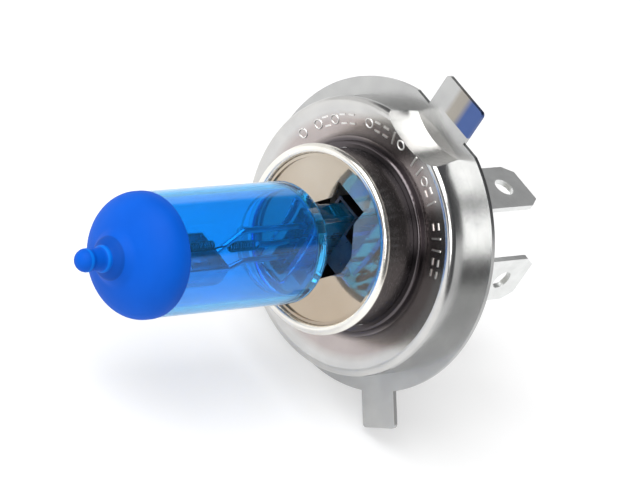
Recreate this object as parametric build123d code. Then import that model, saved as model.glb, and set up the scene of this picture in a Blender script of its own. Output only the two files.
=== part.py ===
"""Twin-filament headlight bulb on a three-lug prefocus base.

The bulb's axis lies along Y with the glass tip towards -Y and the terminals towards +Y. The origin is on
that axis in the ring's reference plane, the front face of the flange, and the wide lug points to +Z.
All sizes are in millimetres.
"""

from build123d import *
import os

# ---- driving dimensions -----------------------------------------------------------------------------
# Distances along the axis are measured forwards from the reference plane, towards the tip. Those whose
# names end in _behind are measured the other way, towards the terminals.

# prefocus ring, one pressed steel sheet
flange_radius = 21.5
spigot_radius = 19.0
ring_sheet = 0.6
crown_height = 5.25
crown_round = 0.9
dish_depth = 1.1
dish_flat = 0.6
crown_land = 0.2
flange_relief = 1.05
collar_height = 4.9
collar_wall = 0.95
collar_round = 0.38
wide_lug_width = 8.0
wide_lug_reach = 25.8
narrow_lug_width = 5.8
narrow_lug_reach = 26.4
narrow_lug_angle = 136.5
lug_corner = 0.6
scallop_depth = 1.6
scallop_radius = 11.0
scallop_lean = 8.0

# base barrel, front plate and the clip that holds the glass
barrel_radius = 12.0
barrel_wall = 0.4
barrel_front = 10.75
barrel_behind = 7.6
bead_radius = 0.65
plate_sheet = 0.4
plate_setback = 0.65
plate_hollow = 0.9
plate_lip_setback = 0.15
clip_sheet = 0.4
clip_length = 7.0
clip_ear_width = 5.0
clip_ear_inset = 2.0
star_side_gap = 1.3
star_tall_gap = 2.3
star_notch = 0.4
star_notch_drop = 2.6
star_point = 2.2
star_point_height = 1.4

# glass
glass_radius = 8.2
glass_wall = 1.0
glass_back = 17.9
back_dome_depth = 2.1
dome_start = 44.1
dome_depth = 5.0
tip_reach = 55.1
tip_radius = 1.45
tip_foot_radius = 2.75
tip_foot_rise = 0.7
tip_neck_rise = 2.6
coating_start = 43.1
coating_thickness = 0.1
pinch_width = 11.0
pinch_thickness = 3.4
pinch_back = 1.5
pinch_edge = 1.0
pinch_root_thickness = 5.8
pinch_root_width = 12.2
pinch_root_length = 1.6
pinch_root_edge = 1.7
pinch_root_bevel = 0.8
pinch_sink = 0.95

# filaments, shield and their wires
lead_pitch = 2.9
support_wire = 0.8
filament_wire = 0.35
low_coil_radius = 0.65
low_coil_length = 5.5
low_coil_height = 0.65
low_coil_back = 31.6
high_coil_radius = 0.7
high_coil_length = 4.5
high_coil_back = 23.6
shield_radius = 3.4
shield_wall = 0.3
shield_back = 30.4
shield_length = 8.6
shield_top = -0.3
wire_clearance = 0.4
strut_run = 3.0
foil_width = 2.2
foil_length = 8.0
foil_sheet = 0.06
outer_lead_wire = 0.8
wire_grip = 3.4
foil_lap = 0.8
foil_gap = 0.02
filament_leg = 1.5
lead_bend = 1.2
lead_end_height = -1.0
lead_overlap = 0.8
pad_width = 1.4
pad_sheet = 0.4
pad_length = 1.1
pad_gap = 0.05

# insulator and terminal blades
boss_radius = 11.0
boss_behind = 12.0
boss_bevel = 0.5
insulator_behind = 3.4
blade_width = 7.8
blade_sheet = 0.8
blade_behind = 26.6
blade_chamfer = 1.2
blade_chamfer_length = 1.8
blade_hole_radius = 1.5
blade_hole_inset = 4.5
top_blade_height = 6.8
side_blade_offset = 7.75
side_blade_drop = 2.9
blade_root = 1.2

# clearances between pieces that slide together
slip_fit = 0.05

# how far a cutting body runs past what it cuts
overshoot = 1.0

# ---- worked-out places -------------------------------------------------------------------------------
barrel_bore = barrel_radius - barrel_wall
collar_bore = barrel_radius + slip_fit
crown_inner_radius = spigot_radius - crown_round - crown_land
dish_foot_radius = collar_bore + collar_wall + dish_flat
dish_height = crown_height - dish_depth
plate_front = barrel_front - plate_setback
plate_back = plate_front - plate_sheet
plate_radius = barrel_bore - slip_fit
plate_reach = plate_radius - plate_sheet
clip_front = plate_back - plate_hollow
tube_bore = glass_radius - glass_wall
cavity_back = glass_back + glass_wall
pinch_front = glass_back - back_dome_depth + pinch_sink
lead_heights = {"low": -lead_pitch, "common": lead_pitch, "high": 0.0}


# ---- shared helpers ----------------------------------------------------------------------------------
def turned(*outline):
    """A solid of revolution about the bulb's axis from (radius, forward distance) points or edges."""
    if isinstance(outline[0], tuple):
        outline = [Polyline(*[(r, -f) for r, f in outline], close=True)]
    return revolve(make_face(outline), axis=Axis.Y)


def disc(radius, front, back):
    """A plain cylinder on the bulb's axis between two forward distances."""
    return turned((0, front), (radius, front), (radius, back), (0, back))


def block(width, front, back, height, x=0.0, z=0.0):
    """A box centred at (x, z) between two forward distances."""
    return Pos(x, -(front + back) / 2, z) * Box(width, front - back, height)


def wire(points, diameter):
    """A round wire through hand-set (x, forward, z) points, bent to small radii."""
    route = [(x, -f, z) for x, f, z in points]
    if len(route) == 2:
        path = Line(*route)
    else:
        path = FilletPolyline(*route, radius=diameter)
    return sweep(Plane(origin=path @ 0, z_dir=path % 0) * Circle(diameter / 2), path=path)


# ---- glass envelope ----------------------------------------------------------------------------------
def capsule(radius, front, front_depth, back, back_depth):
    """A round body with an elliptical dome of its own depth at each end of a straight tube."""
    return turned(
        Line((0, -back + back_depth), (0, -front - front_depth)),
        EllipticalCenterArc((0, -front), radius, front_depth, 270, arc_size=90),
        Line((radius, -front), (radius, -back)),
        EllipticalCenterArc((0, -back), radius, back_depth, 0, arc_size=90),
    )


def exhaust_tip(growth):
    """The melted-off filling tube: a foot on the dome, a short neck and a round end."""
    end = tip_radius + growth
    foot = tip_foot_radius + growth
    dome_top = dome_start + dome_depth
    neck = (end, -dome_top - tip_neck_rise)
    end_start = (end, -tip_reach + tip_radius)
    top = (0, -tip_reach - growth)
    foot_edge = (foot, -dome_top - tip_foot_rise)
    return turned(
        Line((0, -dome_start - overshoot), top),
        EllipticalCenterArc((0, end_start[1]), end, end, 270, arc_size=90),
        Line(end_start, neck),
        Spline(neck, foot_edge, tangents=((0, 1), (0.5, 1))),
        Line(foot_edge, (foot, -dome_start - overshoot)),
        Line((foot, -dome_start - overshoot), (0, -dome_start - overshoot)),
    )


def outer_glass(growth):
    """The outside of the blown envelope without its pinch, moved outwards by growth."""
    depth = dome_depth + growth
    body = capsule(glass_radius + growth, dome_start, depth, glass_back, back_dome_depth)
    return body + exhaust_tip(growth)


def inner_space():
    """The gas space inside the envelope."""
    return capsule(tube_bore, dome_start, dome_depth - glass_wall, cavity_back, back_dome_depth)


def pinch_seal():
    """The pressed end of the tube, with rounded edges and a thicker root in the rear dome."""
    press = block(pinch_thickness, pinch_front, pinch_back, pinch_width)
    press = fillet(press.edges().filter_by(Axis.Y), pinch_edge)
    root = block(pinch_root_thickness, pinch_front, pinch_front - pinch_root_length, pinch_root_width)
    root = fillet(root.edges().filter_by(Axis.Y), pinch_root_edge)
    return press + chamfer(root.faces().sort_by(Axis.Y)[-1].edges(), pinch_root_bevel)


# ---- filaments, shield and wires ----------------------------------------------------------------------
shield_front = shield_back + shield_length
low_coil_front = low_coil_back + low_coil_length
high_coil_front = high_coil_back + high_coil_length
low_wire_height = support_wire / 2 + wire_clearance - tube_bore
shield_depth = shield_top - low_wire_height - support_wire
wire_root = pinch_front - wire_grip
strut_top = shield_back - strut_run
riser = shield_front + 2 * support_wire
low_bend = shield_back - 1.5 * support_wire
weld_height = shield_top - 1.5 * support_wire

support_routes = {
    "low": [
        (0, wire_root, -lead_pitch),
        (0, high_coil_back, -lead_pitch),
        (0, low_bend, low_wire_height),
        (0, riser, low_wire_height),
        (0, riser, low_coil_height + support_wire),
    ],
    "common": [
        (0, wire_root, lead_pitch),
        (0, strut_top, lead_pitch),
        (0, shield_back + shield_wall, weld_height),
    ],
    "high": [(0, wire_root, 0), (0, high_coil_back - filament_leg / 2, 0)],
}


def shield_form(inset):
    """A trough with a half-round bottom, open upwards, shrunk on every closed side by inset."""
    radius = shield_radius - inset
    front = shield_front - inset
    back = shield_back + inset
    rise = shield_depth - shield_radius
    bottom = Pos(0, 0, shield_top - rise) * disc(radius, front, back)
    walls = block(2 * radius, front, back, rise, 0, shield_top - rise / 2)
    above = block(4 * shield_radius, front + overshoot, back - overshoot, 2 * shield_radius)
    return bottom + walls - Pos(0, 0, shield_top + shield_radius) * above


def coil(radius, front, back, height, leg_front, leg_back):
    """The outer shape of a wound filament with a straight leg at each end."""
    winding = disc(radius, front, back)
    legs = disc(filament_wire / 2, leg_front, leg_back)
    return Pos(0, 0, height) * (winding + legs)


shield = shield_form(0) - shield_form(shield_wall)
supports = {name: wire(route, support_wire) - shield_form(0) for name, route in support_routes.items()}
low_filament = coil(low_coil_radius, low_coil_front, low_coil_back, low_coil_height, riser, strut_top)
high_leg_back = high_coil_back - filament_leg
high_filament = coil(high_coil_radius, high_coil_front, high_coil_back, 0, shield_back, high_leg_back)
for support in supports.values():
    low_filament -= support
    high_filament -= support
low_filament = low_filament.solids().sort_by(SortBy.VOLUME)[-1]
high_filament = high_filament.solids().sort_by(SortBy.VOLUME)[-1]

foil_front = wire_root + foil_lap
foil_back = foil_front - foil_length
lead_front = foil_back + foil_lap


def foil(height):
    """A molybdenum strip that carries the current through the pinch, beside its two wires."""
    beside = support_wire / 2 + foil_sheet / 2 + foil_gap
    return block(foil_sheet, foil_front, foil_back, foil_width, beside, height)


blade_front = blade_root - insulator_behind
side_face = side_blade_offset - blade_sheet / 2 - outer_lead_wire / 2 - pad_gap
top_face = top_blade_height - blade_sheet / 2
bend = pinch_back - lead_bend
lead_end = blade_front - lead_overlap
lead_turn = blade_front - pad_length / 2

lead_routes = {
    "low": [
        (0, lead_front, -lead_pitch),
        (0, lead_turn, -lead_pitch),
        (0, lead_turn, top_face - pad_sheet / 2),
    ],
    "common": [
        (0, lead_front, lead_pitch),
        (0, bend, lead_pitch),
        (side_face, blade_front, lead_end_height),
        (side_face, lead_end, lead_end_height),
    ],
    "high": [
        (0, lead_front, 0),
        (0, bend, 0),
        (-side_face, blade_front, -side_blade_drop),
        (-side_face, lead_end, -side_blade_drop),
    ],
}
leads = {name: wire(route, outer_lead_wire) for name, route in lead_routes.items()}

# each lead ends in a flattened pad that is spot-welded to its blade
pad_back = blade_front - pad_length
side_pad = side_blade_offset - blade_sheet / 2 - pad_sheet / 2
leads["low"] += block(pad_width, blade_front, pad_back, pad_sheet, 0, top_face - pad_sheet / 2)
leads["common"] += block(pad_sheet, blade_front, pad_back, pad_width, side_pad, lead_end_height)
leads["high"] += block(pad_sheet, blade_front, pad_back, pad_width, -side_pad, -side_blade_drop)
foils = {name: foil(height) for name, height in lead_heights.items()}


def sealed_in(height):
    """The space that one current path fills in the glass: its two wires and its foil."""
    wires = disc(support_wire / 2, cavity_back, wire_root)
    wires += disc(outer_lead_wire / 2, lead_front, pinch_back - overshoot)
    return Pos(0, 0, height) * wires


envelope = outer_glass(0) + pinch_seal() - inner_space()
envelope -= sum((sealed_in(height) for height in lead_heights.values()), start=Part())
for strip in foils.values():
    envelope -= strip

coating_half = disc(2 * glass_radius, tip_reach + overshoot, coating_start)
coating = (outer_glass(coating_thickness) & coating_half) - outer_glass(0)


# ---- front plate, pinch clip and barrel -----------------------------------------------------------------
def star_opening():
    """The pierced hole round the pinch: a tall slot with pointed corners and a point at each side."""
    half_width = pinch_thickness / 2 + star_side_gap
    tip_height = pinch_width / 2 + star_tall_gap
    corner = [(half_width, tip_height), (half_width - star_notch, tip_height - star_notch_drop)]
    side = [(half_width + star_point, star_point_height)]
    quarter = corner + side
    points = quarter + [(x, -z) for x, z in reversed(quarter)]
    points += [(-x, z) for x, z in reversed(points)]
    return Plane.XZ * make_face(Polyline(*points, close=True))


def dished(level):
    """The hollow curve of one face of the plate, from the axis out to its turned-up edge."""
    rise_at_half = 0.75 * plate_hollow
    middle = (plate_reach / 2, rise_at_half - level)
    return ThreePointArc((0, plate_hollow - level), middle, (plate_reach, -level))


plate_lip = barrel_front - plate_lip_setback
front_plate = turned(
    dished(plate_front),
    Polyline(
        (plate_reach, -plate_front),
        (plate_reach, -plate_lip),
        (plate_radius, -plate_lip),
        (plate_radius, -plate_back),
        (plate_reach, -plate_back),
    ),
    dished(plate_back),
    Line((0, plate_hollow - plate_back), (0, plate_hollow - plate_front)),
)
front_plate -= extrude(star_opening(), amount=barrel_front + overshoot)

sleeve_width = pinch_width + 2 * slip_fit
sleeve_gap = pinch_thickness + 2 * slip_fit
clip_back = clip_front - clip_length
ear_span = 2 * (plate_radius - clip_ear_inset)
behind_plate = turned(
    dished(plate_back),
    Polyline(
        (plate_reach, -plate_back),
        (plate_reach, -clip_back),
        (0, -clip_back),
        (0, plate_hollow - plate_back),
    ),
)
ears = block(ear_span, plate_back, clip_front - clip_sheet, clip_ear_width) & behind_plate
clip = ears + block(sleeve_gap + 2 * clip_sheet, clip_front, clip_back, sleeve_width + 2 * clip_sheet)
clip -= block(sleeve_gap, plate_back, clip_back - overshoot, sleeve_width)

barrel = turned(
    (barrel_bore, barrel_front),
    (barrel_radius, barrel_front),
    (barrel_radius, -barrel_behind),
    (boss_radius + slip_fit, -barrel_behind),
    (boss_radius + slip_fit, barrel_wall - barrel_behind),
    (barrel_bore, barrel_wall - barrel_behind),
)
bead = Pos(bead_radius + barrel_bore, -barrel_front) * Circle(bead_radius)
barrel += revolve(bead, axis=Axis.Y)


# ---- prefocus ring --------------------------------------------------------------------------------------
def lug(width, reach, angle):
    """One flat locating lug that grows out of the flange."""
    strip = Pos(0, reach / 2) * Rectangle(width, reach)
    outer = strip.vertices().group_by(Axis.Y)[-1]
    return Plane.XZ * Rot(0, 0, -angle) * fillet(outer, lug_corner)


def scallop(growth):
    """The round bite that clears the drum wall behind the wide lug, leaning outwards towards the front."""
    reach = spigot_radius - scallop_depth + scallop_radius
    cutter = Cylinder(scallop_radius + growth, 6 * crown_height, rotation=(90, 0, 0))
    return Pos(0, 0, reach) * Rot(scallop_lean, 0, 0) * cutter


relief_height = flange_radius - flange_relief
flange = Plane.XZ * Circle(flange_radius)
flange -= Plane.XZ * Pos(0, relief_height + flange_relief) * Rectangle(2 * flange_radius, 2 * flange_relief)
flange += lug(wide_lug_width, wide_lug_reach, 0)
for side in (-1, 1):
    flange += lug(narrow_lug_width, narrow_lug_reach, side * narrow_lug_angle)
flange = extrude(flange, amount=-ring_sheet)

drum = turned(
    (spigot_radius, -ring_sheet),
    (spigot_radius, crown_height),
    (crown_inner_radius, crown_height),
    (dish_foot_radius, dish_height),
    (collar_bore + collar_wall, dish_height),
    (collar_bore + collar_wall, collar_height),
    (collar_bore, collar_height),
    (collar_bore, -ring_sheet),
)
rim = drum.edges().filter_by(GeomType.CIRCLE).filter_by(lambda e: abs(e.radius - spigot_radius) < 0.01)
drum = fillet(rim.sort_by(Axis.Y)[0], crown_round)
collar_rim = drum.edges().filter_by(GeomType.CIRCLE).filter_by(
    lambda e: abs(e.radius - collar_bore - collar_wall) < 0.01
)
drum = fillet(collar_rim.sort_by(Axis.Y)[0], collar_round)
hollow = turned(
    (spigot_radius - ring_sheet, -ring_sheet - overshoot),
    (spigot_radius - ring_sheet, crown_height - ring_sheet),
    (crown_inner_radius, crown_height - ring_sheet),
    (dish_foot_radius, dish_height - ring_sheet),
    (0, dish_height - ring_sheet),
    (0, -ring_sheet - overshoot),
)
bore = disc(collar_bore, collar_height + overshoot, -ring_sheet - overshoot)
prefocus_ring = flange + (drum - scallop(0)) - (hollow - scallop(ring_sheet)) - bore


# ---- insulator and terminals ----------------------------------------------------------------------------
def blade(grown):
    """A flat tab across the axis, grown by a clearance: chamfered end corners and a latch hole."""
    half = blade_width / 2 + grown
    end = blade_behind + grown
    narrow = half - blade_chamfer
    slope = end - blade_chamfer_length
    front = -blade_front - grown
    right = [(half, front), (half, slope), (narrow, end)]
    left = [(-x, y) for x, y in reversed(right)]
    outline = make_face(Polyline(*right, *left, close=True))
    if not grown:
        outline -= Pos(0, blade_behind - blade_hole_inset) * Circle(blade_hole_radius)
    return extrude(outline, amount=blade_sheet / 2 + grown, both=True)


def blade_set(grown):
    """The three tabs in their places: one across the top and one upright at each side."""
    upright = Rot(0, 90, 0) * blade(grown)
    return {
        "top_blade": Pos(0, 0, top_blade_height) * blade(grown),
        "left_blade": Pos(-side_blade_offset, 0, -side_blade_drop) * upright,
        "right_blade": Pos(side_blade_offset, 0, -side_blade_drop) * upright,
    }


blades = blade_set(0)
shoulder = barrel_behind - barrel_wall
insulator = turned(
    (0, -insulator_behind),
    (barrel_bore - slip_fit, -insulator_behind),
    (barrel_bore - slip_fit, -shoulder),
    (boss_radius, -shoulder),
    (boss_radius, boss_bevel - boss_behind),
    (boss_radius - boss_bevel, -boss_behind),
    (0, -boss_behind),
)
for slot in blade_set(slip_fit).values():
    insulator -= slot


# ---- one file for each piece ----------------------------------------------------------------------------
pieces = {
    "glass_envelope": envelope,
    "tip_coating": coating,
    "low_beam_filament": low_filament,
    "high_beam_filament": high_filament,
    "low_beam_shield": shield,
    "front_plate": front_plate,
    "pinch_clip": clip,
    "base_barrel": barrel,
    "prefocus_ring": prefocus_ring,
    "terminal_insulator": insulator,
}
for name in lead_heights:
    pieces[name + "_support_wire"] = supports[name]
    pieces[name + "_seal_foil"] = foils[name]
    pieces[name + "_outer_lead"] = leads[name]
pieces.update(blades)

os.makedirs("parts", exist_ok=True)
for name, piece in pieces.items():
    export_step(piece, "parts/" + name + ".step")
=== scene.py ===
import math

import bmesh
import bpy
from mathutils import Matrix, Vector


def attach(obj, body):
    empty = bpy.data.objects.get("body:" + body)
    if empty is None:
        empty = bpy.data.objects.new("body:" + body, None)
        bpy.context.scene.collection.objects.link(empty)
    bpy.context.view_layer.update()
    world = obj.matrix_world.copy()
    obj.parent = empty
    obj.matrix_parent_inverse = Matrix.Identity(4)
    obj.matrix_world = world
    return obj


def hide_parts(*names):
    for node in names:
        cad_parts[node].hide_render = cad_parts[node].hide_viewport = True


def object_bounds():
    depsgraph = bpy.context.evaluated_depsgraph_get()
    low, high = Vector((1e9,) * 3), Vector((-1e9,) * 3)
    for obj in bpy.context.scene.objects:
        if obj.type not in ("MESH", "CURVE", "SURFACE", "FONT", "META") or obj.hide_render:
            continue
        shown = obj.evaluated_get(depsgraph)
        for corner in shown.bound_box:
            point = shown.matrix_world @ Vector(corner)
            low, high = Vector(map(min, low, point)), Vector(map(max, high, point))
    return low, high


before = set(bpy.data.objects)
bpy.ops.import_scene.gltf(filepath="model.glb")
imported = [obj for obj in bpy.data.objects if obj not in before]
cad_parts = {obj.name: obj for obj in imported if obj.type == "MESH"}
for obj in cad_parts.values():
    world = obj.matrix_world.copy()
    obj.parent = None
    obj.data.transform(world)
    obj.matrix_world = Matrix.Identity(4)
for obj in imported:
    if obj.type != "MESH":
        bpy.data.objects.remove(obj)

cad_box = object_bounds()

# ---- Filaments -----------------------------------------------------------------------------------
# Two coils of fine tungsten wire, wound on a mandrel, with a straight leg at each end that is welded to its
# support. The front coil lies just over the shield, the rear one on the bulb's axis.
MM = 0.001


def new_material(name):
    """An empty node material and its Principled shader, with the two node lists kept at hand."""
    material = bpy.data.materials.new(name)
    material.use_nodes = True
    nodes, links = material.node_tree.nodes, material.node_tree.links
    shader = nodes["Principled BSDF"]
    return material, nodes, links, shader


def noise_on_object(nodes, links, scale, detail=3.0, stretch=(1.0, 1.0, 1.0)):
    """Noise over the piece's own coordinates, in cells per metre, drawn out by stretch."""
    place = nodes.new("ShaderNodeTexCoord")
    mapping = nodes.new("ShaderNodeMapping")
    mapping.inputs["Scale"].default_value = stretch
    noise = nodes.new("ShaderNodeTexNoise")
    noise.inputs["Scale"].default_value = scale
    noise.inputs["Detail"].default_value = detail
    links.new(place.outputs["Object"], mapping.inputs["Vector"])
    links.new(mapping.outputs["Vector"], noise.inputs["Vector"])
    return noise.outputs["Fac"]


def spread(nodes, links, value, low, high):
    """A roughness or height value laid between two limits."""
    fit = nodes.new("ShaderNodeMapRange")
    fit.inputs["From Min"].default_value = 0.3
    fit.inputs["From Max"].default_value = 0.7
    fit.inputs["To Min"].default_value = low
    fit.inputs["To Max"].default_value = high
    links.new(value, fit.inputs["Value"])
    return fit.outputs["Result"]


def two_tones(nodes, links, value, dark, light):
    """A colour between two tones of the same finish."""
    ramp = nodes.new("ShaderNodeValToRGB")
    ramp.color_ramp.elements[0].position = 0.32
    ramp.color_ramp.elements[0].color = (*dark, 1)
    ramp.color_ramp.elements[1].position = 0.68
    ramp.color_ramp.elements[1].color = (*light, 1)
    links.new(value, ramp.inputs["Fac"])
    return ramp.outputs["Color"]


def bumped(nodes, links, shader, height, strength, depth):
    """Fine relief on the shader's normal, depth in metres."""
    bump = nodes.new("ShaderNodeBump")
    bump.inputs["Strength"].default_value = strength
    bump.inputs["Distance"].default_value = depth
    links.new(height, bump.inputs["Height"])
    links.new(bump.outputs["Normal"], shader.inputs["Normal"])


def metal(name, dark, light, rough_low, rough_high, cells, stretch, relief):
    """A bare or plated metal: two close tones, uneven polish and a fine directional relief."""
    material, nodes, links, shader = new_material(name)
    shader.inputs["Metallic"].default_value = 1.0
    patches = noise_on_object(nodes, links, cells, 4.0)
    grain = noise_on_object(nodes, links, cells * 6, 3.0, stretch)
    links.new(two_tones(nodes, links, patches, dark, light), shader.inputs["Base Color"])
    links.new(spread(nodes, links, grain, rough_low, rough_high), shader.inputs["Roughness"])
    bumped(nodes, links, shader, grain, 0.25, relief)
    return material


def toned(material, measure, start, end, tone, above=-1000):
    """Multiplies a colour by tone where Z is higher than above, fading in from start to end along X, Y, Z or
    the radius, in millimetres."""
    nodes, links = material.node_tree.nodes, material.node_tree.links
    base = nodes["Principled BSDF"].inputs["Base Color"]
    before = base.links[0].from_socket
    place = nodes.new("ShaderNodeTexCoord")
    axes = nodes.new("ShaderNodeSeparateXYZ")
    links.new(place.outputs["Object"], axes.inputs["Vector"])
    if measure == "radius":
        across = nodes.new("ShaderNodeCombineXYZ")
        links.new(axes.outputs["X"], across.inputs["X"])
        links.new(axes.outputs["Z"], across.inputs["Z"])
        length = nodes.new("ShaderNodeVectorMath")
        length.operation = "LENGTH"
        links.new(across.outputs["Vector"], length.inputs[0])
        distance = length.outputs["Value"]
    else:
        distance = axes.outputs[measure]
    fade = nodes.new("ShaderNodeMapRange")
    fade.inputs["From Min"].default_value = start * MM
    fade.inputs["From Max"].default_value = end * MM
    links.new(distance, fade.inputs["Value"])
    high = nodes.new("ShaderNodeMath")
    high.operation = "GREATER_THAN"
    high.inputs[1].default_value = above * MM
    links.new(axes.outputs["Z"], high.inputs[0])
    share = nodes.new("ShaderNodeMath")
    share.operation = "MULTIPLY"
    links.new(high.outputs["Value"], share.inputs[0])
    links.new(fade.outputs["Result"], share.inputs[1])
    mix = nodes.new("ShaderNodeMix")
    mix.data_type = "RGBA"
    mix.blend_type = "MULTIPLY"
    mix.inputs["B"].default_value = (*tone, 1)
    links.new(share.outputs["Value"], mix.inputs["Factor"])
    links.new(before, mix.inputs["A"])
    links.new(mix.outputs["Result"], base)


tungsten = metal("tungsten_wire", (0.16, 0.16, 0.17), (0.3, 0.3, 0.31), 0.3, 0.5, 900, (1, 1, 1), 0.00001)


def dress(obj, material, stands_for):
    """Gives a finished piece its material and its body, and hides the nodes it stands for."""
    obj.data.materials.clear()
    obj.data.materials.append(material)
    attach(obj, "root")
    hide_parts(*stands_for)
    return obj


def wound_coil_tree():
    """Geometry nodes: a helix of round wire along Y with a straight leg at each end."""
    tree = bpy.data.node_groups.new("wound_coil", "GeometryNodeTree")
    sockets = {}
    for label, kind in (
        ("Turns", "NodeSocketFloat"),
        ("Coil Radius", "NodeSocketFloat"),
        ("Coil Length", "NodeSocketFloat"),
        ("Wire Radius", "NodeSocketFloat"),
        ("Back", "NodeSocketVector"),
        ("Front Leg End", "NodeSocketVector"),
        ("Rear Leg End", "NodeSocketVector"),
        ("Wire", "NodeSocketMaterial"),
    ):
        sockets[label] = tree.interface.new_socket(label, in_out="INPUT", socket_type=kind).identifier
    tree.interface.new_socket("Geometry", in_out="OUTPUT", socket_type="NodeSocketGeometry")
    nodes, links = tree.nodes, tree.links
    given = nodes.new("NodeGroupInput").outputs
    out = nodes.new("NodeGroupOutput")
    spiral = nodes.new("GeometryNodeCurveSpiral")
    spiral.inputs["Resolution"].default_value = 20
    links.new(given["Turns"], spiral.inputs["Rotations"])
    links.new(given["Coil Radius"], spiral.inputs["Start Radius"])
    links.new(given["Coil Radius"], spiral.inputs["End Radius"])
    links.new(given["Coil Length"], spiral.inputs["Height"])
    lay = nodes.new("GeometryNodeTransform")
    lay.inputs["Rotation"].default_value = (math.radians(90), 0, 0)
    links.new(spiral.outputs["Curve"], lay.inputs["Geometry"])
    links.new(given["Back"], lay.inputs["Translation"])
    shift = nodes.new("ShaderNodeCombineXYZ")
    links.new(given["Coil Radius"], shift.inputs["X"])
    join = nodes.new("GeometryNodeJoinGeometry")
    links.new(lay.outputs["Geometry"], join.inputs["Geometry"])
    negative = nodes.new("ShaderNodeMath")
    negative.operation = "MULTIPLY"
    negative.inputs[1].default_value = -1.0
    links.new(given["Coil Length"], negative.inputs[0])
    reach = nodes.new("ShaderNodeCombineXYZ")
    links.new(negative.outputs["Value"], reach.inputs["Y"])
    for end, leg in ((None, "Rear Leg End"), (reach, "Front Leg End")):
        start = nodes.new("ShaderNodeVectorMath")
        links.new(given["Back"], start.inputs[0])
        links.new(shift.outputs["Vector"], start.inputs[1])
        first = start.outputs["Vector"]
        if end:
            forward = nodes.new("ShaderNodeVectorMath")
            links.new(first, forward.inputs[0])
            links.new(end.outputs["Vector"], forward.inputs[1])
            first = forward.outputs["Vector"]
        line = nodes.new("GeometryNodeCurvePrimitiveLine")
        links.new(first, line.inputs["Start"])
        links.new(given[leg], line.inputs["End"])
        links.new(line.outputs["Curve"], join.inputs["Geometry"])
    circle = nodes.new("GeometryNodeCurvePrimitiveCircle")
    circle.inputs["Resolution"].default_value = 10
    links.new(given["Wire Radius"], circle.inputs["Radius"])
    sweep = nodes.new("GeometryNodeCurveToMesh")
    sweep.inputs["Fill Caps"].default_value = True
    links.new(join.outputs["Geometry"], sweep.inputs["Curve"])
    links.new(circle.outputs["Curve"], sweep.inputs["Profile Curve"])
    real = nodes.new("GeometryNodeRealizeInstances")
    paint = nodes.new("GeometryNodeSetMaterial")
    links.new(sweep.outputs["Mesh"], real.inputs["Geometry"])
    links.new(real.outputs["Geometry"], paint.inputs["Geometry"])
    links.new(given["Wire"], paint.inputs["Material"])
    links.new(paint.outputs["Geometry"], out.inputs["Geometry"])
    return tree, sockets


def from_tree(name, tree, sockets, values):
    """Runs a node tree once and keeps its result as a plain mesh object."""
    maker = bpy.data.objects.new(name + "_maker", bpy.data.meshes.new(name + "_maker"))
    bpy.context.collection.objects.link(maker)
    run = maker.modifiers.new("shape", "NODES")
    run.node_group = tree
    for label, value in values.items():
        run[sockets[label]] = value
    bpy.context.view_layer.update()
    made = bpy.data.meshes.new_from_object(maker.evaluated_get(bpy.context.evaluated_depsgraph_get()))
    maker.modifiers.clear()
    bpy.data.objects.remove(maker)
    made.name = name
    obj = bpy.data.objects.new(name, made)
    bpy.context.collection.objects.link(obj)
    for face in made.polygons:
        face.use_smooth = True
    made.set_sharp_from_angle(angle=math.radians(45))
    return obj


coil_tree, coil_sockets = wound_coil_tree()
wire_radius = 0.12
for node, turns, radius, length, back, height, front_end, rear_end, rear_drop in (
    ("low_beam_filament", 13.0, 0.55, 5.5, -31.6, 0.65, -41.0, -27.6, 0.1),
    ("high_beam_filament", 10.0, 0.6, 4.5, -23.6, 0.0, -28.3, -22.3, 0.0),
):
    coil = from_tree(
        node + "_coil",
        coil_tree,
        coil_sockets,
        {
            "Turns": turns,
            "Coil Radius": radius * MM,
            "Coil Length": length * MM,
            "Wire Radius": wire_radius * MM,
            "Back": (0.0, back * MM, height * MM),
            "Front Leg End": (0.0, front_end * MM, height * MM),
            "Rear Leg End": (0.0, rear_end * MM, (height - rear_drop) * MM),
            "Wire": tungsten,
        },
    )
    dress(coil, tungsten, [node])

# ---- Supports, shield and foils ------------------------------------------------------------------
# Drawn molybdenum wires and a pressed trough of molybdenum sheet, dull grey with streaks along the drawing
# direction. The foils are rolled so thin that they seal in the hot glass.
drawn_grey = (0.62, 0.66, 0.74)
bright_grey = (0.72, 0.76, 0.84)
molybdenum = metal("molybdenum", drawn_grey, bright_grey, 0.26, 0.36, 300, (1, 0.1, 1), 0.000003)
for node in (
    "low_support_wire",
    "common_support_wire",
    "high_support_wire",
    "low_seal_foil",
    "common_seal_foil",
    "high_seal_foil",
    "low_beam_shield",
):
    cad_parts[node].data.materials.clear()
    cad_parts[node].data.materials.append(molybdenum)

nickel = metal("nickel_wire", (0.45, 0.44, 0.42), (0.62, 0.6, 0.57), 0.2, 0.35, 400, (1, 1, 1), 0.00001)
for node in ("low_outer_lead", "common_outer_lead", "high_outer_lead"):
    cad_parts[node].data.materials.clear()
    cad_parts[node].data.materials.append(nickel)

# ---- Glass envelope ------------------------------------------------------------------------------
# A quartz tube blown to a dome at the front and pressed flat at the back around the three foils. A thin
# coating on it tints the light blue each time it passes a surface.
tube_radius = 8.2
tube_wall = 1.0
glass_back = 17.9
dome_start = 44.1
dome_depth = 5.0
tip_reach = 55.1
tip_radius = 1.45


def arc(centre, radii, start, end, steps):
    """Points of an elliptical arc in the (radius, y) half-plane, angles in degrees."""
    points = []
    for i in range(steps + 1):
        a = math.radians(start + (end - start) * i / steps)
        points.append((centre[0] + radii[0] * math.cos(a), centre[1] + radii[1] * math.sin(a)))
    return points


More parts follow.
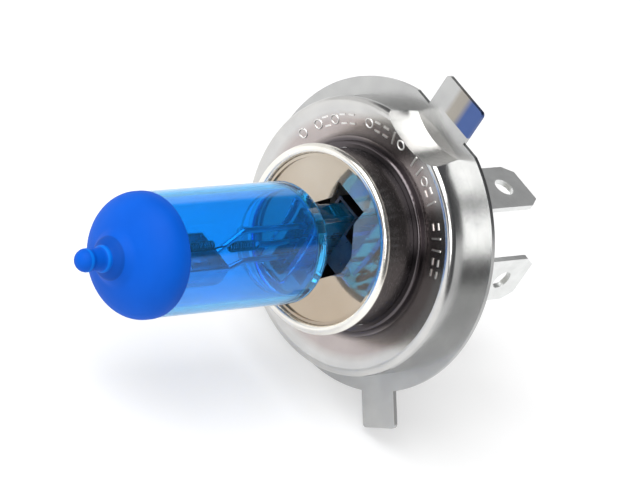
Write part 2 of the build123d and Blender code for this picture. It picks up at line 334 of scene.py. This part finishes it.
def smooth_run(points, steps):
    """A soft curve through (radius, y) points, by Catmull-Rom."""
    run = []
    for i in range(len(points) - 1):
        p = [points[max(i - 1, 0)], points[i], points[i + 1], points[min(i + 2, len(points) - 1)]]
        for k in range(steps):
            t = k / steps
            place = []
            for a, b, c, d in zip(*p):
                bend = 2 * a - 5 * b + 4 * c - d
                twist = 3 * b - a - 3 * c + d
                place.append(0.5 * (2 * b + (c - a) * t + bend * t * t + twist * t**3))
            run.append(tuple(place))
    return run + [points[-1]]


def turned(name, outline, segments=128):
    """A mesh turned about Y from (radius, y) points in millimetres. Radius 0 closes on the axis."""
    shape = bmesh.new()
    rings = []
    for radius, y in outline:
        if radius < 1e-6:
            rings.append([shape.verts.new((0, y * MM, 0))])
            continue
        ring = []
        for i in range(segments):
            a = 2 * math.pi * i / segments
            ring.append(shape.verts.new((radius * MM * math.sin(a), y * MM, radius * MM * math.cos(a))))
        rings.append(ring)
    for near, far in zip(rings, rings[1:]):
        for i in range(segments):
            j = (i + 1) % segments
            corners = [near[i % len(near)], near[j % len(near)], far[j % len(far)], far[i % len(far)]]
            corners = list(dict.fromkeys(corners))
            if len(corners) > 2:
                shape.faces.new(corners)
    bmesh.ops.recalc_face_normals(shape, faces=shape.faces)
    mesh = bpy.data.meshes.new(name)
    shape.to_mesh(mesh)
    shape.free()
    obj = bpy.data.objects.new(name, mesh)
    bpy.context.collection.objects.link(obj)
    for face in mesh.polygons:
        face.use_smooth = True
    mesh.set_sharp_from_angle(angle=math.radians(40))
    return obj


def outer_profile(growth):
    """The outside of the dome and its melted-off tip, from the tip back to the tube."""
    ball = arc((0, -tip_reach + tip_radius), (tip_radius + growth, tip_radius + growth), -90, 8, 14)
    neck = smooth_run(
        [
            ball[-1],
            (1.3 + growth, -53.0),
            (1.36 + growth, -52.2),
            (1.42 + growth, -51.5),
            (1.66 + growth, -51.05),
            (1.72 + growth, -50.6),
            (2.5 + growth, -50.0),
            (2.95 + growth, -49.4),
            (3.6 + growth, -48.72),
        ],
        5,
    )
    dome = arc((0, -dome_start), (tube_radius + growth, dome_depth + growth), -61.5, 0, 26)
    return ball[:-1] + neck[:-1] + dome


quartz, nodes, links, shader = new_material("blue_quartz")
shader.inputs["Base Color"].default_value = (0.035, 0.51, 1.0, 1)
shader.inputs["Transmission Weight"].default_value = 0.95
shader.inputs["Roughness"].default_value = 0.0
shader.inputs["IOR"].default_value = 1.46
shader.inputs["Specular IOR Level"].default_value = 0.35
ripple = noise_on_object(nodes, links, 160, 2.0, (1, 0.25, 1))
bumped(nodes, links, shader, ripple, 0.15, 0.00002)

outside = outer_profile(0)
outside += [(tube_radius, -dome_start + 0.5), (tube_radius, -30), (tube_radius, -glass_back - 0.5)]
outside += arc((0, -glass_back), (tube_radius, 2.1), 0, 90, 24)
outside[-1] = (0, outside[-1][1])
outside[0] = (0, outside[0][1])
inner_radius = tube_radius - tube_wall
inside = arc((0, -dome_start), (inner_radius, dome_depth - tube_wall), -90, 0, 24)
inside += [(inner_radius, -dome_start + 0.5), (inner_radius, -30), (inner_radius, -glass_back - 1.5)]
inside += arc((0, -glass_back - tube_wall), (inner_radius, 1.8), 0, 90, 20)
inside[0] = (0, inside[0][1])
inside[-1] = (0, inside[-1][1])

shell = turned("glass_shell", outside)
hollow = turned("glass_hollow", inside)


def pressed_end(name, width, height, front, back, edge):
    """The flat pinch: a rounded block of glass along Y."""
    shape = bmesh.new()
    bmesh.ops.create_cube(shape, size=1)
    bmesh.ops.scale(shape, vec=(width * MM, (front - back) * MM, height * MM), verts=shape.verts)
    bmesh.ops.translate(shape, vec=(0, -(front + back) / 2 * MM, 0), verts=shape.verts)
    bmesh.ops.bevel(shape, geom=shape.edges[:], offset=edge * MM, segments=4, affect="EDGES", profile=0.5)
    mesh = bpy.data.meshes.new(name)
    shape.to_mesh(mesh)
    shape.free()
    obj = bpy.data.objects.new(name, mesh)
    bpy.context.collection.objects.link(obj)
    return obj


def combine(target, other, operation):
    """Joins or cuts one solid with another and keeps the plain result."""
    step = target.modifiers.new("combine", "BOOLEAN")
    step.operation = operation
    step.object = other
    step.solver = "EXACT"
    made = bpy.data.meshes.new_from_object(target.evaluated_get(bpy.context.evaluated_depsgraph_get()))
    target.modifiers.clear()
    target.data = made
    bpy.data.objects.remove(other)


pinch_root = pressed_end("pinch_root", width=5.8, height=12.2, front=17.2, back=15.0, edge=0.8)
pinch = pressed_end("pinch", width=3.4, height=11.0, front=17.0, back=1.5, edge=0.9)
combine(shell, pinch_root, "UNION")
combine(shell, pinch, "UNION")
combine(shell, hollow, "DIFFERENCE")
for face in shell.data.polygons:
    face.use_smooth = True
shell.data.set_sharp_from_angle(angle=math.radians(35))
shell.name = "glass_tube"
dress(shell, quartz, ["glass_envelope"])

# ---- Painted tip ---------------------------------------------------------------------------------
# An opaque baked paint over the dome and the melted-off tip, dipped, so that it ends in a clean ring on the
# straight tube. It is dull, with a faint orange-peel. Two lighter bands on the edges of the neck are painted
# highlights, and a darker band at its foot is painted shade.
paint_start = 43.1
paint_film = 0.1
paint, nodes, links, shader = new_material("blue_tip_paint")
blotch = noise_on_object(nodes, links, 180, 3.0)
blues = two_tones(nodes, links, blotch, (0.0, 0.082, 0.5), (0.0, 0.092, 0.55))
links.new(blues, shader.inputs["Base Color"])
shader.inputs["Roughness"].default_value = 0.6
shader.inputs["Specular IOR Level"].default_value = 0.1
peel = noise_on_object(nodes, links, 2600, 2.0)
bumped(nodes, links, shader, peel, 0.12, 0.00002)
# Painted highlights: two lighter bands on the edges of the neck. Painted shade: a darker band at the foot.
for front, back, tone in ((-54.0, -53.7, 1.7), (-51.25, -50.85, 1.7), (-50.6, -49.7, 0.7)):
    toned(paint, "Y", front - 0.1, front, (1, tone, min(tone, 1.25)))
    toned(paint, "Y", back, back + 0.15, (1, 1 / tone, 1 / min(tone, 1.25)))

skin = outer_profile(paint_film)
skin[0] = (0, skin[0][1])
film_gap = 0.004
skin += [
    (tube_radius + paint_film, -paint_start - 0.25),
    (tube_radius + paint_film - 0.03, -paint_start - 0.06),
    (tube_radius + 0.03, -paint_start),
    (tube_radius + film_gap, -paint_start),
]
under = outer_profile(film_gap)
under[0] = (0, under[0][1])
skin += reversed(under)
dip = turned("painted_tip", skin)
dress(dip, paint, ["tip_coating"])

# ---- Front plate and clip ------------------------------------------------------------------------
# A disc of bright steel, polished so that the tube shows in it, warmer and darker towards the bottom, with a
# pierced hole for the pinch. Behind it a dark spring sleeve grips the glass.
mirror = metal("polished_plate", (0.46, 0.4, 0.32), (0.54, 0.48, 0.4), 0.03, 0.07, 90, (1, 1, 1), 0.000002)
mirror.node_tree.nodes["Principled BSDF"].inputs["Metallic"].default_value = 0.8
# Warmer and darker towards the bottom.
toned(mirror, "Z", 5, -5, (0.95, 0.89, 0.83))
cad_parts["front_plate"].data.materials.clear()
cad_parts["front_plate"].data.materials.append(mirror)
spring = metal("spring_steel", (0.05, 0.05, 0.055), (0.12, 0.12, 0.13), 0.25, 0.45, 300, (1, 1, 1), 0.00001)
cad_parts["pinch_clip"].data.materials.clear()
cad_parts["pinch_clip"].data.materials.append(spring)

# ---- Barrel --------------------------------------------------------------------------------------
# A drawn steel cup, its front edge rolled outwards into a bright bead. It slides in the ring's collar and is
# welded there when the filaments are in focus. Behind the bead it is painted dark, as painted shade and a
# painted dark reflection.
bead_back = -10.2
plated = metal("nickel_plate", (0.82, 0.79, 0.73), (0.9, 0.88, 0.82), 0.2, 0.28, 260, (1, 8, 1), 0.000002)
# Painted shade and painted dark reflection: the barrel behind the bead is darkened.
toned(plated, "Y", bead_back, bead_back + 0.3, (0.16, 0.16, 0.175))
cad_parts["base_barrel"].data.materials.clear()
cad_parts["base_barrel"].data.materials.append(plated)

# ---- Prefocus ring -------------------------------------------------------------------------------
# One pressed sheet of plated steel: a flange with three lugs, a drum with a rounded crown, a dished front
# and a collar for the barrel. The dish is painted a darker, warmer grey as painted reflection. The wall and
# flange are painted a shade darker than the crown as painted shade. The collar is painted dark as painted
# shade and dark reflection. The straw and blue bands on the wide lug are painted reflections, the blue one
# of the bulb.
# Plain punched marks stand round the dish and on the flange.
satin_grey = (0.54, 0.535, 0.525)
satin_light = (0.6, 0.595, 0.58)
flange_radius = 21.5
wall_radius = 19.0
collar_radius = 13.2
ring_steel = metal("pressed_ring_steel", satin_grey, satin_light, 0.2, 0.24, 300, (1, 6, 1), 0.000001)
# Painted reflection: the dish is darker and warmer.
toned(ring_steel, "radius", 17.1, 15.8, (0.78, 0.7, 0.69))
# Painted shade: the wall, flange and lugs are a shade darker than the crown.
toned(ring_steel, "radius", wall_radius - 0.2, wall_radius - 0.02, (0.8, 0.81, 0.82))
# Painted reflections: straw and blue bands on the wide lug, the blue one of the bulb.
toned(ring_steel, "X", -1.4, -0.6, (0.72, 0.67, 0.6), above=flange_radius)
toned(ring_steel, "X", 0.7, 1.7, (0.22, 0.38, 1.05), above=flange_radius)
# Painted shade and painted dark reflection: the collar is darkened.
toned(ring_steel, "radius", collar_radius + 1.0, collar_radius, (0.22, 0.22, 0.24))
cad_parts["prefocus_ring"].data.materials.clear()
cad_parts["prefocus_ring"].data.materials.append(ring_steel)


def punched_marks_tree():
    """Geometry nodes: plain strokes, pairs of strokes and rings round an arc, with a gap after each few."""
    tree = bpy.data.node_groups.new("punched_marks", "GeometryNodeTree")
    sockets = {}
    for label, kind in (
        ("Arc Radius", "NodeSocketFloat"),
        ("Start Angle", "NodeSocketFloat"),
        ("Sweep Angle", "NodeSocketFloat"),
        ("Places", "NodeSocketInt"),
        ("Places in a Group", "NodeSocketInt"),
        ("Mark Height", "NodeSocketFloat"),
        ("Stroke", "NodeSocketFloat"),
        ("Slope", "NodeSocketFloat"),
        ("Level", "NodeSocketVector"),
        ("Seed", "NodeSocketInt"),
        ("Steel", "NodeSocketMaterial"),
    ):
        sockets[label] = tree.interface.new_socket(label, in_out="INPUT", socket_type=kind).identifier
    tree.interface.new_socket("Geometry", in_out="OUTPUT", socket_type="NodeSocketGeometry")
    nodes, links = tree.nodes, tree.links
    given = nodes.new("NodeGroupInput").outputs
    out = nodes.new("NodeGroupOutput")

    def worked(operation, first, second):
        step = nodes.new("ShaderNodeMath")
        step.operation = operation
        for socket, value in zip(step.inputs, (first, second)):
            if isinstance(value, (int, float)):
                socket.default_value = value
            else:
                links.new(value, socket)
        return step.outputs["Value"]

    def stroke(width, length, shift):
        size = nodes.new("ShaderNodeCombineXYZ")
        for axis, value in (("X", width), ("Y", length), ("Z", given["Stroke"])):
            links.new(value, size.inputs[axis])
        bar = nodes.new("GeometryNodeMeshCube")
        links.new(size.outputs["Vector"], bar.inputs["Size"])
        if shift is None:
            return bar.outputs["Mesh"]
        offset = nodes.new("ShaderNodeCombineXYZ")
        links.new(shift, offset.inputs["Y"])
        move = nodes.new("GeometryNodeTransform")
        links.new(bar.outputs["Mesh"], move.inputs["Geometry"])
        links.new(offset.outputs["Vector"], move.inputs["Translation"])
        return move.outputs["Geometry"]

    third = worked("MULTIPLY", given["Mark Height"], 0.33)
    half = worked("MULTIPLY", given["Mark Height"], 0.5)
    upright = stroke(given["Stroke"], given["Mark Height"], None)
    pair = nodes.new("GeometryNodeJoinGeometry")
    for side in (0.33, -0.33):
        shift = worked("MULTIPLY", given["Mark Height"], side)
        links.new(stroke(half, given["Stroke"], shift), pair.inputs["Geometry"])
    loop = nodes.new("GeometryNodeCurvePrimitiveCircle")
    loop.inputs["Resolution"].default_value = 24
    links.new(third, loop.inputs["Radius"])
    rod = nodes.new("GeometryNodeCurvePrimitiveCircle")
    rod.inputs["Resolution"].default_value = 8
    links.new(worked("MULTIPLY", given["Stroke"], 0.5), rod.inputs["Radius"])
    ring = nodes.new("GeometryNodeCurveToMesh")
    links.new(loop.outputs["Curve"], ring.inputs["Curve"])
    links.new(rod.outputs["Curve"], ring.inputs["Profile Curve"])
    tilt = nodes.new("ShaderNodeCombineXYZ")
    links.new(given["Slope"], tilt.inputs["X"])
    choices = nodes.new("GeometryNodeJoinGeometry")
    for shape in (upright, pair.outputs["Geometry"], ring.outputs["Mesh"]):
        lean = nodes.new("GeometryNodeTransform")
        links.new(shape, lean.inputs["Geometry"])
        links.new(tilt.outputs["Vector"], lean.inputs["Rotation"])
        keep = nodes.new("GeometryNodeGeometryToInstance")
        links.new(lean.outputs["Geometry"], keep.inputs["Geometry"])
        links.new(keep.outputs["Instances"], choices.inputs["Geometry"])
    path = nodes.new("GeometryNodeCurveArc")
    links.new(given["Places"], path.inputs["Resolution"])
    links.new(given["Arc Radius"], path.inputs["Radius"])
    links.new(given["Start Angle"], path.inputs["Start Angle"])
    links.new(given["Sweep Angle"], path.inputs["Sweep Angle"])
    index = nodes.new("GeometryNodeInputIndex")
    in_group = worked("MODULO", index.outputs["Index"], given["Places in a Group"])
    kept = worked("GREATER_THAN", in_group, 0.5)
    position = nodes.new("GeometryNodeInputPosition")
    facing = nodes.new("FunctionNodeAlignEulerToVector")
    facing.axis = "Y"
    facing.pivot_axis = "Z"
    links.new(position.outputs["Position"], facing.inputs["Vector"])
    pick = nodes.new("FunctionNodeRandomValue")
    pick.data_type = "INT"
    whole = [socket for socket in pick.inputs if socket.type == "INT"]
    whole[0].default_value = 0
    whole[1].default_value = 2
    links.new(given["Seed"], pick.inputs["Seed"])
    put = nodes.new("GeometryNodeInstanceOnPoints")
    put.inputs["Pick Instance"].default_value = True
    links.new(path.outputs["Curve"], put.inputs["Points"])
    links.new(choices.outputs["Geometry"], put.inputs["Instance"])
    links.new(kept, put.inputs["Selection"])
    links.new([socket for socket in pick.outputs if socket.type == "INT"][0], put.inputs["Instance Index"])
    links.new(facing.outputs["Rotation"], put.inputs["Rotation"])
    stand = nodes.new("GeometryNodeTransform")
    stand.inputs["Rotation"].default_value = (math.radians(90), 0, 0)
    links.new(put.outputs["Instances"], stand.inputs["Geometry"])
    links.new(given["Level"], stand.inputs["Translation"])
    real = nodes.new("GeometryNodeRealizeInstances")
    coat = nodes.new("GeometryNodeSetMaterial")
    links.new(stand.outputs["Geometry"], real.inputs["Geometry"])
    links.new(real.outputs["Geometry"], coat.inputs["Geometry"])
    links.new(given["Steel"], coat.inputs["Material"])
    links.new(coat.outputs["Geometry"], out.inputs["Geometry"])
    return tree, sockets


marks_tree, marks_sockets = punched_marks_tree()
burnished = metal("punched_marks", (0.8, 0.79, 0.77), (0.9, 0.89, 0.87), 0.3, 0.45, 900, (1, 1, 1), 0.000003)
scorched = metal("flange_marks", (0.1, 0.1, 0.1), (0.16, 0.16, 0.16), 0.4, 0.5, 900, (1, 1, 1), 0.000003)
for name, steel, radius, first, sweep, places, group, tall, stroke, slope, level, seed in (
    ("dish_marks", burnished, 15.9, 20, 142, 26, 6, 1.9, 0.24, 14.35, 4.72, 4),
    ("flange_marks", scorched, 20.3, 262, 14, 5, 9, 1.5, 0.24, 0.0, -0.08, 7),
):
    marks = from_tree(
        name,
        marks_tree,
        marks_sockets,
        {
            "Arc Radius": radius * MM,
            "Start Angle": math.radians(first),
            "Sweep Angle": math.radians(sweep),
            "Places": places,
            "Places in a Group": group,
            "Mark Height": tall * MM,
            "Stroke": stroke * MM,
            "Slope": math.radians(slope),
            "Level": (0.0, -level * MM, 0.0),
            "Seed": seed,
            "Steel": steel,
        },
    )
    dress(marks, steel, [])

# ---- Insulator and terminals ---------------------------------------------------------------------
# A moulded disc closes the barrel and holds three stamped brass blades, tin plated, each with a hole that
# the plug's terminal snaps into.
moulded, nodes, links, shader = new_material("moulded_insulator")
speckle = noise_on_object(nodes, links, 700, 4.0)
creams = two_tones(nodes, links, speckle, (0.62, 0.61, 0.58), (0.74, 0.73, 0.7))
links.new(creams, shader.inputs["Base Color"])
shader.inputs["Roughness"].default_value = 0.6
bumped(nodes, links, shader, speckle, 0.2, 0.00003)
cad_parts["terminal_insulator"].data.materials.clear()
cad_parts["terminal_insulator"].data.materials.append(moulded)
tin = metal("tin_plate", (0.76, 0.77, 0.76), (0.84, 0.85, 0.84), 0.3, 0.42, 500, (1, 0.3, 1), 0.000006)
for node in ("top_blade", "left_blade", "right_blade"):
    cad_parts[node].data.materials.clear()
    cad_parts[node].data.materials.append(tin)

# ---- Floor, light and camera ---------------------------------------------------------------------
# White paper that rises behind the bulb, one wide soft lamp above it, a weaker one in front at the right,
# and a dim room all round.
floor_mesh = bpy.data.meshes.new("floor")
floor_size = 3.0
floor_level = cad_box[0].z - 0.5 * MM
floor_mesh.from_pydata(
    [(x * floor_size, y * floor_size, floor_level) for x, y in ((-1, -1), (1, -1), (1, 1), (-1, 1))],
    [],
    [(0, 1, 2, 3)],
)
floor = bpy.data.objects.new("floor", floor_mesh)
bpy.context.collection.objects.link(floor)
paper, nodes, links, shader = new_material("white_paper")
shader.inputs["Base Color"].default_value = (0.6, 0.6, 0.6, 1)
shader.inputs["Roughness"].default_value = 0.9
shader.inputs["Specular IOR Level"].default_value = 0.1
shader.inputs["Emission Color"].default_value = (1, 1, 1, 1)
shader.inputs["Emission Strength"].default_value = 0.5
floor_mesh.materials.append(paper)

world = bpy.data.worlds.new("tent")
bpy.context.scene.world = world
world.use_nodes = True
sky = world.node_tree
direction = sky.nodes.new("ShaderNodeTexCoord")
height = sky.nodes.new("ShaderNodeSeparateXYZ")
sky.links.new(direction.outputs["Generated"], height.inputs["Vector"])
paper_top = sky.nodes.new("ShaderNodeMapRange")
paper_top.inputs["From Min"].default_value = 0.44
paper_top.inputs["From Max"].default_value = 0.36
sky.links.new(height.outputs["Z"], paper_top.inputs["Value"])
away = sky.nodes.new("ShaderNodeVectorMath")
away.operation = "DOT_PRODUCT"
away.inputs[1].default_value = (-0.77, 0.64, 0)
sky.links.new(direction.outputs["Generated"], away.inputs[0])
behind = sky.nodes.new("ShaderNodeMapRange")
behind.inputs["From Min"].default_value = -0.45
behind.inputs["From Max"].default_value = 0.0
sky.links.new(away.outputs["Value"], behind.inputs["Value"])
both = sky.nodes.new("ShaderNodeMath")
both.operation = "MULTIPLY"
sky.links.new(paper_top.outputs["Result"], both.inputs[0])
sky.links.new(behind.outputs["Result"], both.inputs[1])
surround = sky.nodes.new("ShaderNodeMix")
surround.data_type = "RGBA"
surround.inputs["A"].default_value = (0.11, 0.11, 0.115, 1)
surround.inputs["B"].default_value = (0.95, 0.95, 0.95, 1)
sky.links.new(both.outputs["Value"], surround.inputs["Factor"])
sky.links.new(surround.outputs["Result"], sky.nodes["Background"].inputs["Color"])
sky.nodes["Background"].inputs["Strength"].default_value = 1.0


def soft_lamp(name, place, aim, size, power):
    """A square soft lamp, place and aim in millimetres."""
    light = bpy.data.lights.new(name, "AREA")
    light.size = size * MM
    light.energy = power
    obj = bpy.data.objects.new(name, light)
    bpy.context.collection.objects.link(obj)
    obj.location = Vector(place) * MM
    obj.rotation_euler = (Vector(aim) - Vector(place)).to_track_quat("-Z", "Y").to_euler()
    return obj


lamp_aim = (0, -15, 0)
soft_lamp("key", (-90, -330, 520), lamp_aim, size=560, power=5.0)
soft_lamp("front", (330, -480, 290), lamp_aim, size=260, power=1.25)

camera_place = Vector((260.8, -423.6, 287.6)) * MM
look = Vector((-0.457, 0.729, -0.507)).normalized()
level_right = look.cross(Vector((0, 0, 1))).normalized()
level_up = level_right.cross(look)
roll = math.radians(33.65)
right = math.cos(roll) * level_right + math.sin(roll) * level_up
up = -math.sin(roll) * level_right + math.cos(roll) * level_up
middle = Vector((0, -18, 0))
aim_right, aim_up = 5.26, 0.34
target = (middle + aim_right * right + aim_up * up) * MM
look = (target - camera_place).normalized()
right = look.cross(up).normalized()
up = right.cross(look)
lens = bpy.data.cameras.new("camera")
lens.sensor_width = 36
lens.lens = 238.3
lens.clip_start = 0.01
camera = bpy.data.objects.new("camera", lens)
bpy.context.collection.objects.link(camera)
turn = Matrix((right, up, -look)).transposed().to_4x4()
camera.matrix_world = Matrix.Translation(camera_place) @ turn
bpy.context.scene.camera = camera
bpy.context.scene.view_settings.view_transform = "Standard"
